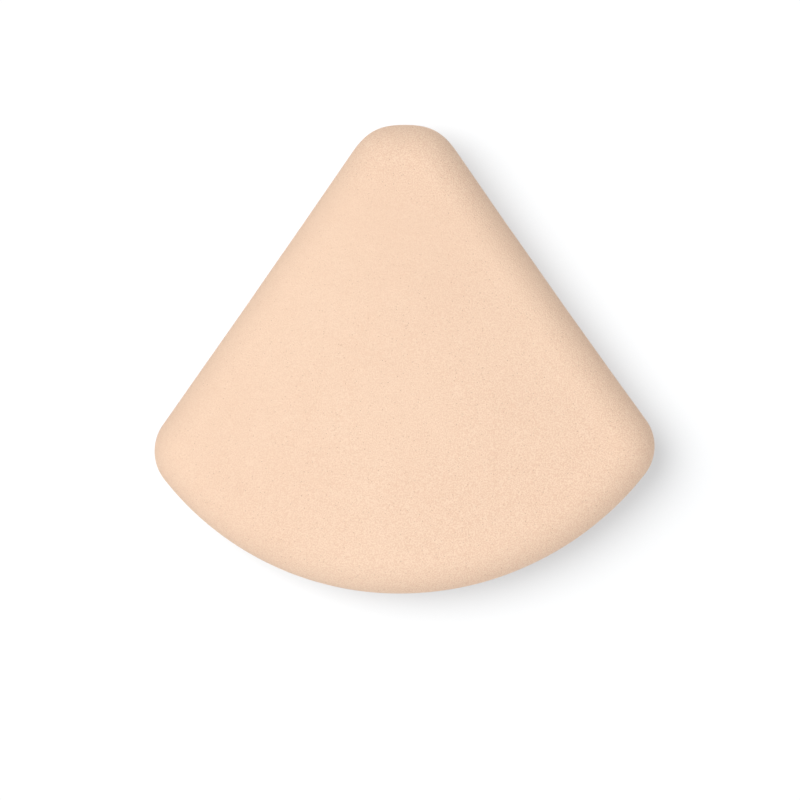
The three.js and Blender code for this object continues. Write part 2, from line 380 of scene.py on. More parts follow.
def face_outside():
    """Rows from the middle of the crown to the lip under the widest outline, and the lip itself."""
    shoulder = roll(ROLL, SHOULDER_RISE, SHOULDER_ANGLE, 0, SHOULDER_ROWS)
    under = roll(ROLL, UNDER_DROP, 0, SEAM_MOUTH - SEAM_ANGLE, LIP_ROWS)[1:]
    rows = [crown_row(*shoulder[0], fill) for fill in np.linspace(1, 0, CROWN_ROWS)[:-1]]
    rows += [edge_row(inset, z) for inset, z in np.concatenate([shoulder, under])]
    return rows, under[-1]


outside_rows, face_lip = face_outside()
print(f"{len(outside_rows)} rows outside, lip {face_lip[1]:.2f} mm high")


# %% Rows of the weld
SEAM_GAP = 0.04
LEDGE_START = 1.1
LEDGE_END = 3.4
LEDGE_ROWS = 6
LIP_SHARES = (0.3, 0.6, 0.85)
PUCKER = 0.05
PUCKERS = 74
LONG_PUCKERS = 28
LONG_SHARE = 0.6


def pucker():
    """A slight gather of the weld, which changes along the outline."""
    turn = np.linspace(0, 2 * math.pi, ROW_POINTS, endpoint=False)
    return PUCKER * (np.sin(PUCKERS * turn) + LONG_SHARE * np.sin(LONG_PUCKERS * turn + 1.0))


def slot_shift(inset):
    """How far a ledge gives way to the end of the strap at each point of the outline."""
    return in_channel(place(inset)[:, 1]) * STRAP_ROOM


def face_weld(lip):
    """Rows from the lip round into the ledge that meets the back."""
    rows = []
    ledge_z = SEAM_Z + SEAM_GAP / 2
    for share in LIP_SHARES:
        inset = lip[0] + (LEDGE_START - lip[0]) * share + pucker() * math.sin(math.pi * share)
        z = ledge_z + (lip[1] - ledge_z) * (1 - share) ** 2
        rows.append(edge_row(inset, z + slot_shift(inset) * share))
    for inset in np.linspace(LEDGE_START, LEDGE_END, LEDGE_ROWS):
        rows.append(edge_row(inset, ledge_z + slot_shift(inset)))
    return rows


weld_rows = face_weld(face_lip)
print(f"weld of {len(weld_rows)} rows, gathered by up to {np.abs(pucker()).max():.3f} mm")


# %% Rows of the face's inside
LEDGE_THICKNESS = 0.9
INNER_LEDGE_ROWS = 6
INNER_EDGE_ROWS = 12
INNER_CROWN_ROWS = 20


def face_inside():
    """Rows from the top of the ledge up to the middle of the inside."""
    ledge_top = SEAM_Z + SEAM_GAP / 2 + LEDGE_THICKNESS
    across, drop = ROLL - FACE_THICKNESS, UNDER_DROP - FACE_THICKNESS
    ledge_angle = math.degrees(math.asin((ledge_top - GIRTH_Z) / drop))
    below = roll(across, drop, ledge_angle, 0, INNER_LEDGE_ROWS)
    above = roll(across, SHOULDER_RISE - FACE_THICKNESS, 0, SHOULDER_ANGLE, INNER_EDGE_ROWS)[1:]
    rows = [edge_row(LEDGE_END, ledge_top)]
    rows += [edge_row(inset, z) for inset, z in np.concatenate([below, above])]
    rows += [crown_row(*above[-1], fill) for fill in np.linspace(0, 1, INNER_CROWN_ROWS)[1:]]
    return rows


puff_face = loft("puff_face", outside_rows + weld_rows + face_inside())


# %% Give the face the waviness of cast foam
def ripple(piece, height, waves_per_mm, seed):
    """Moves points along their normals by smooth noise, in millimetres, and none below the table."""
    shift = Vector((seed, 2 * seed, 3 * seed))
    moved = []
    for vertex in piece.data.vertices:
        wave = noise.noise(vertex.co / MM * waves_per_mm + shift)
        moved.append(vertex.co + vertex.normal * (wave * height * MM))
    points = np.array(moved, dtype=np.float32)
    points[:, 2] = np.maximum(points[:, 2], 0)
    piece.data.vertices.foreach_set("co", points.ravel())
    piece.data.update()


ripple(puff_face, height=0.03, waves_per_mm=0.12, seed=3)
ripple(puff_face, height=0.004, waves_per_mm=0.6, seed=8)
print(f"face now {max(vertex.co.z for vertex in puff_face.data.vertices) / MM:.2f} mm high")

# %% [markdown]
# ## The back skin
# The back is a shallow tray of the same foam. Where the strap crosses it, its section changes to one that
# lies just inside the strap. A boolean cut would leave hard edges in a soft skin, so each row is mixed
# between the two sections by a mask that is 1 under the strap and falls off softly beside it.

# %% The back's section beside the strap
BACK_LEDGE_STEPS = 6
BACK_EDGE_STEPS = 40
BACK_RIM_STEPS = 8
CURL_SHARES = np.array([0.2, 0.5, 0.8])


def along(line, steps):
    """A line taken at even steps of its length."""
    gone = np.concatenate([[0], np.cumsum(np.linalg.norm(np.diff(line, axis=0), axis=1))])
    at = np.linspace(0, gone[-1], steps)
    return np.stack([np.interp(at, gone, line[:, i]) for i in range(line.shape[1])], axis=1)


def section_beside(rim_inset):
    """Insets and heights from the back's rim along its ledge and round to its belly."""
    ledge_z = SEAM_Z - SEAM_GAP / 2
    ledge = np.linspace([rim_inset, ledge_z], [LEDGE_START, ledge_z], BACK_LEDGE_STEPS)
    under = roll(ROLL, UNDER_DROP, -SEAM_ANGLE - SEAM_MOUTH, -UNDER_ANGLE, BACK_EDGE_STEPS)
    lip = under[0]
    curl_inset = LEDGE_START + (lip[0] - LEDGE_START) * CURL_SHARES
    curl = np.stack([curl_inset, ledge_z + (lip[1] - ledge_z) * CURL_SHARES**2], axis=1)
    outside = along(np.concatenate([ledge[-1:], curl, under]), BACK_EDGE_STEPS)
    return np.concatenate([ledge[:-1], outside])


BACK_DROP = UNDER_DROP - BACK_THICKNESS
RIM_ANGLE = math.degrees(math.asin((SEAM_Z - SEAM_GAP / 2 - GIRTH_Z) / BACK_DROP))
BACK_INSIDE = roll(ROLL - BACK_THICKNESS, BACK_DROP, -UNDER_ANGLE, RIM_ANGLE, BACK_RIM_STEPS)
BESIDE = section_beside(BACK_INSIDE[-1, 0])
print(f"section beside the strap: {len(BESIDE)} points, down to {BESIDE[-1, 1]:.2f} mm")


# %% The back's section under the strap
def section_under(rim_inset, belly_inset):
    """Insets and heights from the back's rim along the slot and just inside the strap to its belly."""
    wall = strap_line(STRAP_ROOM)
    end = np.argmax(wall[:, 0] >= belly_inset)
    slot_end = np.argmin(wall[:end, 0]) // 2
    rim = [[rim_inset, wall[0, 1]]]
    slot = along(np.concatenate([rim, wall[:slot_end]]), BACK_LEDGE_STEPS)
    below = along(np.concatenate([slot[-1:], wall[slot_end:end]]), BACK_EDGE_STEPS)
    return np.concatenate([slot[:-1], below])


def mixed_edge(plain, under):
    """Rows that follow one section away from the strap and another one under it."""
    rows = []
    for (inset, z), (strap_inset, strap_z) in zip(plain, under):
        share = in_channel(place(inset)[:, 1])
        rows.append(edge_row(inset + (strap_inset - inset) * share, z + (strap_z - z) * share))
    return rows


UNDER_STRAP = section_under(BACK_INSIDE[-1, 0], BESIDE[-1, 0])
print(f"section under the strap: {len(UNDER_STRAP)} points, down to {UNDER_STRAP[-1, 1]:.2f} mm")


# %% Build the back skin
BACK_FLOOR_ROWS = 20
BELLY_ROWS = 46


def back_belly():
    """Rows of the belly from its rounded edge to its middle, with the channel for the strap."""
    rows = []
    for fill in np.linspace(0, 1, BELLY_ROWS)[1:]:
        row = belly_row(*BESIDE[-1], 0.0, fill)
        channel = np.maximum(channel_floor(row), row[:, 2])
        row[:, 2] += (channel - row[:, 2]) * in_channel(row[:, 1])
        rows.append(row)
    return rows


def back_floor():
    """Rows of the tray's inside, from the middle of its floor out to its rim."""
    fills = np.linspace(1, 0, BACK_FLOOR_ROWS)[:-1]
    rows = [belly_row(*BACK_INSIDE[0], BACK_THICKNESS, fill) for fill in fills]
    return rows + [edge_row(inset, z) for inset, z in BACK_INSIDE[:-1]]


puff_back = loft("puff_back", back_floor() + mixed_edge(BESIDE, UNDER_STRAP) + back_belly())
ripple(puff_back, height=0.02, waves_per_mm=0.2, seed=5)

# %% [markdown]
# ## The sponge core
# The core is a block of open sponge that fills the shell, with a groove round its edge for the ledges of
# the weld. It stays out of sight, so a scaled copy of the pad might do, but that would cut through the
# ledges. It is made from the same rows as its skins instead, a little further in.

# %% Build the core
CORE_GAP = 0.3
CORE_CROWN_ROWS = 24
CORE_EDGE_ROWS = 16
CORE_UNDER_ROWS = 10


def core_rows():
    """Rows of the core, from the middle of its top round to the middle below."""
    face_inset, back_inset = FACE_THICKNESS + CORE_GAP, BACK_THICKNESS + CORE_GAP
    top = roll(ROLL - face_inset, SHOULDER_RISE - face_inset, SHOULDER_ANGLE, 0, CORE_EDGE_ROWS)
    fills = np.linspace(0, 1, CORE_CROWN_ROWS)
    rows = [crown_row(*top[0], fill) for fill in fills[:0:-1]]
    rows += [edge_row(inset, z) for inset, z in top]
    groove_z = SEAM_Z + LEDGE_THICKNESS + 2 * CORE_GAP
    groove_inset = LEDGE_END + CORE_GAP
    rows.append(edge_row(face_inset + CORE_GAP / 2, groove_z))
    rows.append(edge_row(groove_inset, groove_z))
    across = ROLL - back_inset
    groove_angle = math.degrees(math.acos((ROLL - groove_inset) / across))
    under = roll(across, UNDER_DROP - back_inset, -groove_angle, -UNDER_ANGLE, CORE_UNDER_ROWS)
    rows += [edge_row(inset, z) for inset, z in under]
    rows += [belly_row(*under[-1], back_inset, fill) for fill in fills[1:]]
    return rows


puff_core = loft("puff_core", core_rows())

# %% [markdown]
# ## The elastic strap
# The strap is a woven elastic band with a satin face. It is too thin for a remesh, so it is modelled
# directly: a sheet along the strap's line, cut on the slant of the fan's sides, and a Solidify modifier
# that gives it its thickness. A vertex group tells the modifier where the band is thick: on the rounded
# selvedges and on the low ribs over the rubber threads. The sheet bends first and gets its thickness
# afterwards, so the band stays equally thick when fingers lift it.

# %% Points of the strap's sheet
HALF_STRAP_STEPS = 120
FLAT_STEPS = 24
ACROSS_SHARES = np.linspace(-1, 1, 96)
MIRROR = (-1, 1, 1)


def strap_sheet():
    """Points of the strap's middle layer, row by row across its width and from left to right."""
    line = along(STRAP_LINE, HALF_STRAP_STEPS)
    rows = []
    for share in ACROSS_SHARES:
        y = STRAP_Y + share * STRAP_WIDTH / 2
        x = side_x(y) - line[:, 0] / math.cos(HALF_FAN)
        left = np.column_stack([-x, np.full(len(x), y), line[:, 1]])
        flat = np.linspace(left[-1], left[-1] * MIRROR, FLAT_STEPS)[1:-1]
        rows.append(np.concatenate([left, flat, left[::-1] * MIRROR]))
    return np.array(rows)


strap_rows = strap_sheet()


# %% The sheet as a mesh with a flat pattern
def build_strap(rows):
    """The strap's sheet as a mesh, with a flat pattern of itself as its UV map."""
    across, steps = rows.shape[:2]
    faces = []
    for start in range(0, (across - 1) * steps, steps):
        for s in range(start, start + steps - 1):
            faces.append((s, s + steps, s + steps + 1, s + 1))
    strap = mesh_piece("puff_strap", rows.reshape(-1, 3) * MM, faces)
    middle = rows[across // 2]
    run = np.cumsum(np.linalg.norm(np.diff(middle, axis=0, prepend=middle[:1]), axis=1))
    pattern = np.stack(np.meshgrid(run, rows[:, 0, 1]), axis=-1).reshape(-1, 2)
    uv = strap.data.uv_layers.new(name="flat_pattern")
    corners = np.array([loop.vertex_index for loop in strap.data.loops])
    uv.data.foreach_set("uv", pattern[corners].astype(np.float32).ravel())
    return strap


puff_strap = build_strap(strap_rows)

# %% Give the strap its thickness
RIB_PITCH = 1.25
RIB_DEPTH = 0.16
SELVEDGE = 0.7
EDGE_ROUNDING = 0.25
THINNEST = 0.1


def fullness(across):
    """Share of the full thickness at a share of the strap's width from -1 to 1."""
    from_edge = (1 - abs(across)) * STRAP_WIDTH / 2
    if from_edge < SELVEDGE:
        rounding = math.sqrt(1 - (1 - min(from_edge / EDGE_ROUNDING, 1)) ** 2)
        return max(rounding, THINNEST)
    return 1 - RIB_DEPTH * (1 + math.cos(2 * math.pi * (from_edge - SELVEDGE) / RIB_PITCH))


thick = puff_strap.vertex_groups.new(name="thick")
row_length = strap_rows.shape[1]
for row, share in enumerate(ACROSS_SHARES):
    points = list(range(row * row_length, (row + 1) * row_length))
    thick.add(points, fullness(float(share)), "REPLACE")
solidify = puff_strap.modifiers.new("thickness", "SOLIDIFY")
solidify.thickness = STRAP_THICKNESS * MM
solidify.offset = 0
solidify.vertex_group = "thick"
print(f"strap {STRAP_THICKNESS} mm thick with ribs {RIB_PITCH} mm apart")

# %% [markdown]
# ## The lean of the hem
# On the real pad the hem is not quite square to the tip: the right corner sits a little further up than
# the left one. Turning the whole pad would move the tip too, so every piece is slanted by a hair, more
# the further a point is from the tip, and the pieces keep their fit.

# %% Slant every piece
HEM_LEAN = 0.0145


def lean(piece):
    """Slants the hem by a hair, more the further a point is from the tip."""
    for vertex in piece.data.vertices:
        from_tip = 0.5 - vertex.co.y / (PAD_LENGTH * MM)
        vertex.co.y += HEM_LEAN * vertex.co.x * from_tip
    piece.data.update()


for piece in (puff_face, puff_core, puff_back, puff_strap):
    lean(piece)
face_points = np.array([vertex.co for vertex in puff_face.data.vertices]) / MM
left_y = face_points[face_points[:, 0].argmin(), 1]
right_y = face_points[face_points[:, 0].argmax(), 1]
print(f"right corner {right_y - left_y:.1f} mm further up than the left one")

# %% [markdown]
# ## Foam as a node group
# All three foam pieces show cells: tiny pits of many sizes, a few of them open and deep enough to look
# dark, and that dark is painted shade. A picture of them could be painted, but nodes that work in
# millimetres on the piece itself keep the cells at their size everywhere, so the cells are one node group,
# and each material only says how large its cells are and how many of them are open. The group also paints
# grazing-light shade: the contrast of the grain's tone and of the dark pores is weakest on the left, which
# faces the key lamp, and grows towards the hem, the right-hand side and the tip, where that light grazes.


# %% Short ways to add math to a node tree
def put(tree, value, socket):
    """Gives a socket its value: another socket or a plain number."""
    if isinstance(value, bpy.types.NodeSocket):
        tree.links.new(value, socket)
    else:
        socket.default_value = value


def math_node(tree, operation, *values):
    """A math node whose inputs are sockets or numbers, and its output socket."""
    node = tree.nodes.new("ShaderNodeMath")
    node.operation = operation
    for socket, value in zip(node.inputs, values):
        put(tree, value, socket)
    return node.outputs[0]


def ramp(tree, value, low, high):
    """A value mapped smoothly from 0 at low to 1 at high."""
    node = tree.nodes.new("ShaderNodeMapRange")
    node.interpolation_type = "SMOOTHSTEP"
    put(tree, value, node.inputs["Value"])
    put(tree, low, node.inputs["From Min"])
    put(tree, high, node.inputs["From Max"])
    return node.outputs["Result"]


print("math nodes take numbers or sockets")


# %% Places, noise and cells on a piece
def piece_millimetres(tree):
    """The place on the piece, in millimetres."""
    where = tree.nodes.new("ShaderNodeTexCoord")
    scale = tree.nodes.new("ShaderNodeVectorMath")
    scale.operation = "SCALE"
    scale.inputs["Scale"].default_value = 1 / MM
    tree.links.new(where.outputs["Object"], scale.inputs[0])
    return scale.outputs[0]


def noise_node(tree, where, waves_per_mm, detail):
    """Smooth noise from 0 to 1 at a place given in millimetres."""
    node = tree.nodes.new("ShaderNodeTexNoise")
    node.inputs["Detail"].default_value = detail
    tree.links.new(where, node.inputs["Vector"])
    put(tree, waves_per_mm, node.inputs["Scale"])
    return node.outputs["Fac"]


def cell_node(tree, where, cells_per_mm):
    """Distance from the nearest cell's middle, in cells, and a number of that cell's own."""
    node = tree.nodes.new("ShaderNodeTexVoronoi")
    tree.links.new(where, node.inputs["Vector"])
    put(tree, cells_per_mm, node.inputs["Scale"])
    parts = tree.nodes.new("ShaderNodeSeparateColor")
    tree.links.new(node.outputs["Color"], parts.inputs[0])
    return node.outputs["Distance"], parts.outputs[0]


print("noise and cells are placed in millimetres, 1 unit =", MM, "m")


# %% Painted grazing shade over the piece
TO_HEM = (0.6, -0.8, 0)
HEM_REACH = 36.0
TO_TIP = (0.35, 0.94, 0)
TIP_START = 15.0
TIP_END = 28.0
LIT_SIDE_SHARE = 0.15


def rise(tree, where, towards, start, end):
    """From 0 at start to 1 at end, in millimetres along a direction."""
    way = tree.nodes.new("ShaderNodeVectorMath")
    way.operation = "DOT_PRODUCT"
    way.inputs[1].default_value = towards
    tree.links.new(where, way.inputs[0])
    return ramp(tree, way.outputs["Value"], start, end)


def painted_grazing_shade(tree, where):
    """Painted grazing shade: least on the left, which faces the key lamp, and up to 1 at the hem, on the
    right and at the tip.
    """
    hem = rise(tree, where, TO_HEM, -HEM_REACH, HEM_REACH)
    tip = rise(tree, where, TO_TIP, TIP_START, TIP_END)
    return math_node(tree, "MULTIPLY_ADD", math_node(tree, "MAXIMUM", hem, tip), 1 - LIT_SIDE_SHARE, LIT_SIDE_SHARE)


# painted grazing shade: on the lit left, grain and pores keep this share of their contrast at the hem
print(f"cells on the left show {LIT_SIDE_SHARE:.0%} of the grain at the hem")


# %% Pits and open pores
PIT_FLOOR = 0.1
PIT_RIM = 0.5
OPEN_SOFTNESS = 0.04
PORES_SHOW = 0.55
SHALLOW_DEPTH = 0.3
PORE_DEPTH = 0.5


def foam_pits(tree, where, cells_per_mm, open_share, grazing_shade):
    """Where an open pore shows, from 0 to 1, which carries its painted shade, and how deep the pits of all
    cells are.
    """
    distance, own = cell_node(tree, where, cells_per_mm)
    pit = math_node(tree, "SUBTRACT", 1.0, ramp(tree, distance, PIT_FLOOR, PIT_RIM))
    closed = math_node(tree, "SUBTRACT", 1.0, open_share)
    is_open = ramp(tree, own, closed, math_node(tree, "ADD", closed, OPEN_SOFTNESS))
    # painted grazing shade: open pores show weakest on the lit left, strongest where the key light grazes
    strength = math_node(tree, "MINIMUM", grazing_shade, PORES_SHOW)
    pore = math_node(tree, "MULTIPLY", math_node(tree, "MULTIPLY", pit, is_open), strength)
    shallow = math_node(tree, "MULTIPLY", pit, math_node(tree, "MULTIPLY", own, SHALLOW_DEPTH))
    return pore, math_node(tree, "MULTIPLY_ADD", pore, PORE_DEPTH, shallow)


print(f"pits are {PIT_RIM} of a cell in radius, and an open pore shows by up to {PORES_SHOW:.0%}")

# %% Build the foam node group
GRAIN_LOW = 0.36
GRAIN_HIGH = 0.64


def new_group(name, inputs, outputs):
    """A shader node group with named float inputs (name, value) and float outputs."""
    group = bpy.data.node_groups.new(name, "ShaderNodeTree")
    for label, value in inputs:
        socket = group.interface.new_socket(label, in_out="INPUT", socket_type="NodeSocketFloat")
        socket.default_value = value
    for label in outputs:
        group.interface.new_socket(label, in_out="OUTPUT", socket_type="NodeSocketFloat")
    entry = group.nodes.new("NodeGroupInput")
    leave = group.nodes.new("NodeGroupOutput")
    return group, entry.outputs, leave.inputs


def foam_group():
    """Cells of foam: Grain is the tone of closed cells, Pore shows an open one, Height is the relief;
    Grain and Pore carry painted grazing shade.
    """
    settings = [("Cell Size", 0.25), ("Open Share", 0.1)]
    group, given, result = new_group("foam_cells", settings, ["Grain", "Pore", "Height"])
    where = piece_millimetres(group)
    # painted grazing shade: grain and pore contrast weakest on the lit left, strongest where the key light
    # grazes
    grazing_shade = painted_grazing_shade(group, where)
    cells_per_mm = math_node(group, "DIVIDE", 1.0, given["Cell Size"])
    grain = noise_node(group, where, cells_per_mm, detail=1.0)
    uneven = math_node(group, "SUBTRACT", ramp(group, grain, GRAIN_LOW, GRAIN_HIGH), 0.5)
    group.links.new(math_node(group, "MULTIPLY_ADD", uneven, grazing_shade, 0.5), result["Grain"])
    pore, depth = foam_pits(group, where, cells_per_mm, given["Open Share"], grazing_shade)
    group.links.new(pore, result["Pore"])
    group.links.new(math_node(group, "SUBTRACT", grain, depth), result["Height"])
    return group


foam_cells = foam_group()
print("foam_cells has:", [item.name for item in foam_cells.interface.items_tree])

# %% [markdown]
# ## Uneven colour as a node group
# Foam and woven bands are dyed or cast in batches, and they never have quite one tone. One even colour
# would look like plastic, and a painted picture would show its seams, so the second group gives a slow
# drift over the piece with a finer cloud in it, which every material here mixes into its colour.

# %% Build the drift node group
SLOW_SHARE = 0.65
FINE_PATCHES = 6.0
DRIFT_LOW = 0.3
DRIFT_HIGH = 0.7


def drift_group():
    """Slow changes of tone: Drift moves from 0 to 1 over the piece."""
    group, given, result = new_group("tone_drift", [("Patch Size", 14.0)], ["Drift"])
    where = piece_millimetres(group)
    slow_waves = math_node(group, "DIVIDE", 1.0, given["Patch Size"])
    slow = noise_node(group, where, slow_waves, detail=1.0)
    fine_waves = math_node(group, "DIVIDE", FINE_PATCHES, given["Patch Size"])
    fine = noise_node(group, where, fine_waves, detail=2.0)
    fine_part = math_node(group, "MULTIPLY", fine, 1 - SLOW_SHARE)
    both = math_node(group, "MULTIPLY_ADD", slow, SLOW_SHARE, fine_part)
    group.links.new(ramp(group, both, DRIFT_LOW, DRIFT_HIGH), result["Drift"])
    return group


tone_drift = drift_group()
print("tone_drift has:", [item.name for item in tone_drift.interface.items_tree])

# %% [markdown]
# ## The foam finishes
# The skins are fine-celled foam with a dry, powdery touch: no gloss, a faint bloom where light grazes,
# and pits of about a fifth of a millimetre. The core has the same recipe with larger, open cells. One
# function holds the recipe, so the three foams differ only in their colours and their cells.


# %% A material and the groups in it
def new_material(name, finish):
    """A material with one Principled shader, its even values set, its tree and the shader."""
    material = bpy.data.materials.new(name)
    material.use_nodes = True
    tree = material.node_tree
    tree.nodes.clear()
    shader = tree.nodes.new("ShaderNodeBsdfPrincipled")
    for label, value in finish.items():
        shader.inputs[label].default_value = value
    output = tree.nodes.new("ShaderNodeOutputMaterial")
    tree.links.new(shader.outputs[0], output.inputs["Surface"])
    return material, tree, shader


def use_group(tree, group, **values):
    """A node group placed in a material with its own values, written with _ for spaces."""
    node = tree.nodes.new("ShaderNodeGroup")
    node.node_tree = group
    for label, value in values.items():
        node.inputs[label.replace("_", " ")].default_value = value
    return node.outputs


print("groups to place in a material:", [group.name for group in bpy.data.node_groups])


# %% Colour, roughness and relief from nodes
def blend_colours(tree, share, first, second):
    """A colour mixed by share from first to second, each a colour or a socket."""
    node = tree.nodes.new("ShaderNodeMix")
    node.data_type = "RGBA"
    tree.links.new(share, node.inputs["Factor"])
    for socket, colour in zip((node.inputs[6], node.inputs[7]), (first, second)):
        put(tree, (*colour, 1) if isinstance(colour, tuple) else colour, socket)
    return node.outputs[2]


def vary(tree, value, low, high, socket):
    """Drives a shader's socket from low to high as a value goes from 0 to 1."""
    node = tree.nodes.new("ShaderNodeMapRange")
    node.inputs["To Min"].default_value = low
    node.inputs["To Max"].default_value = high
    tree.links.new(value, node.inputs["Value"])
    tree.links.new(node.outputs["Result"], socket)


def bump(tree, shader, height, distance_mm, strength):
    """Relief on a shader's normal."""
    node = tree.nodes.new("ShaderNodeBump")
    node.inputs["Strength"].default_value = strength
    node.inputs["Distance"].default_value = distance_mm * MM
    tree.links.new(height, node.inputs["Height"])
    tree.links.new(node.outputs[0], shader.inputs["Normal"])


print("relief is given in millimetres, and a bump of 1 mm is", 1 * MM, "m")

# %% A recipe for foam
FOAM_FINISH = {"Specular IOR Level": 0.15, "Sheen Weight": 0.05, "Sheen Roughness": 0.6}
FOAM_PATCH = 16.0
DRIFT_SHARE = 0.15
ROUGH_LOW = 0.9
ROUGH_HIGH = 1.0


def foam_material(name, pale, deep, pore_shade, cell_size, open_share, relief_mm):
    """A matte foam: two close tones, painted shade in open pores, and the cells as relief."""
    material, tree, shader = new_material(name, FOAM_FINISH)
    cells = use_group(tree, foam_cells, Cell_Size=cell_size, Open_Share=open_share)
    drift = use_group(tree, tone_drift, Patch_Size=FOAM_PATCH)
    grain_part = math_node(tree, "MULTIPLY", cells["Grain"], 1 - DRIFT_SHARE)
    share = math_node(tree, "MULTIPLY_ADD", drift["Drift"], DRIFT_SHARE, grain_part)
    tone = blend_colours(tree, share, pale, deep)
    # open pores take a dark colour: painted shade inside the pore
    tree.links.new(blend_colours(tree, cells["Pore"], tone, pore_shade), shader.inputs["Base Color"])
    vary(tree, cells["Grain"], ROUGH_LOW, ROUGH_HIGH, shader.inputs["Roughness"])
    bump(tree, shader, cells["Height"], relief_mm, strength=1.0)
    print(f"{name}: cells of {cell_size} mm, {open_share:.0%} of them open")
    return material


print(f"foam tone: {DRIFT_SHARE:.0%} drift and {1 - DRIFT_SHARE:.0%} grain")

# %% Make the foam materials
SKIN_CELLS = {"cell_size": 0.19, "open_share": 0.06, "relief_mm": 0.05}
# painted shade inside the open pores of the skins
SKIN_PORE_SHADE = (0.42, 0.25, 0.16)
FACE_PALE = (1.0, 0.755, 0.570)
FACE_DEEP = (0.89, 0.613, 0.447)
face_foam = foam_material("face_foam", FACE_PALE, FACE_DEEP, SKIN_PORE_SHADE, **SKIN_CELLS)
BACK_PALE = (0.95, 0.680, 0.492)
BACK_DEEP = (0.84, 0.575, 0.403)
back_foam = foam_material("back_foam", BACK_PALE, BACK_DEEP, SKIN_PORE_SHADE, **SKIN_CELLS)
CORE_CELLS = {"cell_size": 0.8, "open_share": 0.7, "relief_mm": 0.3}
# painted shade inside the open cells of the core
CORE_PORE_SHADE = (0.45, 0.30, 0.18)
CORE_PALE = (0.93, 0.79, 0.62)
CORE_DEEP = (0.88, 0.72, 0.54)
core_sponge = foam_material("core_sponge", CORE_PALE, CORE_DEEP, CORE_PORE_SHADE, **CORE_CELLS)

# %% [markdown]
# ## The satin finish of the strap
# In a satin weave each thread floats over several others before it dips under one, so the band shines
# along its length and shows fine slanting rows of dips. The dips and the gaps between threads are darkened
# with painted shade. Only the strap is woven, so its weave stays in its own material. It is drawn on the
# flat pattern of the strap and not on its place in space, because the strap bows when fingers lift it and
# the threads have to go with it.

# %% The weave of the satin
THREADS_PER_MM = 3.2
FLOATS_PER_MM = 0.45
STAGGER = 0.385
THREAD_EDGE = -0.15
THREAD_TOP = 0.4
DIP_LENGTH = 0.1


def satin_weave(tree):
    """1 on top of a floating thread, and less between threads and where a thread dips under."""
    pattern = tree.nodes.new("ShaderNodeUVMap")
    pattern.uv_map = "flat_pattern"
    parts = tree.nodes.new("ShaderNodeSeparateXYZ")
    tree.links.new(pattern.outputs[0], parts.inputs[0])
    run, across = parts.outputs[0], parts.outputs[1]
    row = math_node(tree, "MULTIPLY", across, THREADS_PER_MM)
    in_row = math_node(tree, "PINGPONG", row, 0.5)
    stagger = math_node(tree, "MULTIPLY", math_node(tree, "FLOOR", row), STAGGER)
    float_run = math_node(tree, "MULTIPLY_ADD", run, FLOATS_PER_MM, stagger)
    in_float = math_node(tree, "PINGPONG", float_run, 0.5)
    thread = ramp(tree, in_row, THREAD_EDGE, THREAD_TOP)
    dip = ramp(tree, in_float, 0.0, DIP_LENGTH)
    return math_node(tree, "MULTIPLY", thread, dip)


print(f"threads {1 / THREADS_PER_MM:.2f} mm apart, floats {1 / FLOATS_PER_MM:.1f} mm long")

# %% Make the satin material
SATIN_FINISH = {"Anisotropic": 0.4, "Sheen Weight": 0.2, "Specular IOR Level": 0.5}
SATIN_PATCH = 9.0
SATIN_PALE = (0.90, 0.62, 0.475)
SATIN_DEEP = (0.85, 0.565, 0.425)
# painted shade between threads and where a thread dips under
SATIN_GAP_SHADE = (0.74, 0.46, 0.33)
DIP_ROUGH = 0.6
FLOAT_ROUGH = 0.36


def satin_material():
    """Satin weave: rows of floating threads with staggered ends, in a rosy peach, with painted shade
    between threads and in the dips.
    """
    material, tree, shader = new_material("satin_elastic", SATIN_FINISH)
    weave = satin_weave(tree)
    drift = use_group(tree, tone_drift, Patch_Size=SATIN_PATCH)
    tone = blend_colours(tree, drift["Drift"], SATIN_PALE, SATIN_DEEP)
    # painted shade: the weave darkens the colour between threads and in the dips
    tree.links.new(blend_colours(tree, weave, SATIN_GAP_SHADE, tone), shader.inputs["Base Color"])
    vary(tree, weave, DIP_ROUGH, FLOAT_ROUGH, shader.inputs["Roughness"])
    bump(tree, shader, weave, distance_mm=0.05, strength=0.7)
    return material


satin_elastic = satin_material()
print(f"{satin_elastic.name}: {len(satin_elastic.node_tree.nodes)} nodes")

# %% [markdown]
# ## Pieces into the frame
# Each mesh now takes its finish and stands for its solid, and the face, core and back ride on the pad's
# body. The strap is joined to the pad at its ends and lies on the table in the middle; here its mesh is
# only set into the frame, with no body of its own.

# %% Finishes, solids and slots
for piece, material, node in (
    (puff_face, face_foam, "face_skin"),
    (puff_core, core_sponge, "foam_core"),
    (puff_back, back_foam, "back_skin"),
    (puff_strap, satin_elastic, "finger_strap"),
):
    piece.data.materials.append(material)
    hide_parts(node)
    print(f"{piece.name} stands for {node} in {material.name}")

# %% Bodies and soft parts
for piece in (puff_face, puff_core, puff_back):
    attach(piece, "pad")
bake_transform(puff_strap)

# %% [markdown]
# ## The camera
# The puff lies on its back and is seen straight from above. A near camera would show the crown larger
# than the edge, so a long lens stands well back, which keeps the outline true.

